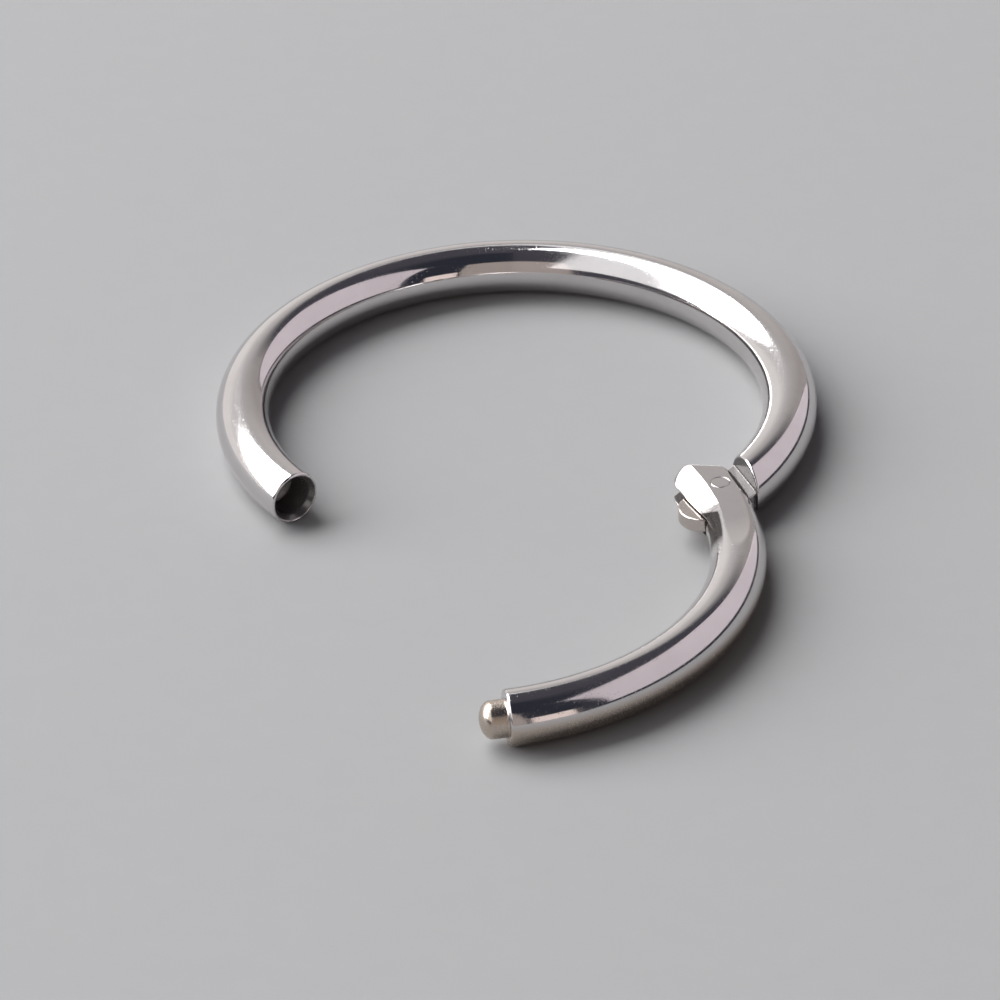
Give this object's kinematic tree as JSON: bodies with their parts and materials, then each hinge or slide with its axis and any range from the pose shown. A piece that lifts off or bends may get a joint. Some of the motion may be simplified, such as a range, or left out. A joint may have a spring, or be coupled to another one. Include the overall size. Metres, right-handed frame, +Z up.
{
  "type": "hinged segment ring",
  "caption": "Hoop of round polished wire, lying open: a curved segment swings out on a hinge pin and shuts with a domed stub in a socket in the hoop's free end.",
  "frame": {"origin": "middle of the open ring's box, on the surface that it lies on", "axes": "+Z up out of the ring's plane and along the hinge pin, +Y away from the open segment to the far side of the hoop, +X to the hinge's side"},
  "size_m": [0.0134, 0.0194, 0.0012],
  "materials": {
    "polished_steel": "mirror polished stainless steel",
    "pin_steel": "ground flush and lightly polished"
  },
  "bodies": {
    "ring": {"main_ring": "polished_steel"},
    "segment": {"hinge_segment": "polished_steel", "hinge_pin": "pin_steel"}
  },
  "joints": [
    {"name": "segment_hinge", "type": "hinge", "parent": "ring", "child": "segment", "pos_m": [0.00434, -0.00126, 0.0006], "axis": [0, 0, 1], "range_deg": [-62.4, 27.6]}
  ]
}
